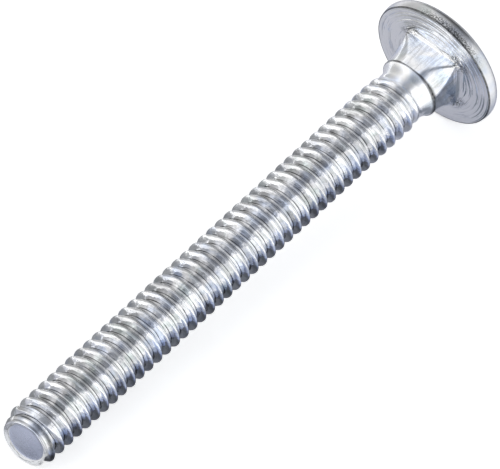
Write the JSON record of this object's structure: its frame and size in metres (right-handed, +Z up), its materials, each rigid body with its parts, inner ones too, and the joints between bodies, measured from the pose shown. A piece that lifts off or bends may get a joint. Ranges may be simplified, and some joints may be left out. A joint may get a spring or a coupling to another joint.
{
  "type": "carriage bolt",
  "caption": "Round-head square-neck bolt with a full coarse thread and a sheared flat point, bright zinc plated, lying at rest on its head and tip.",
  "frame": {"origin": "centre of the head's flat underside, on the bolt's axis", "axes": "+X towards the head and +Z up, with the bolt lying as it rests, so its axis leans 4 degrees from +X, head end up"},
  "size_m": [0.0634, 0.0144, 0.0145],
  "materials": {
    "zinc_plated_steel": "bright zinc plate with fine turning rings under the head and rolling marks along the thread"
  },
  "bodies": {
    "root": {"bolt": "zinc_plated_steel"}
  },
  "joints": []
}
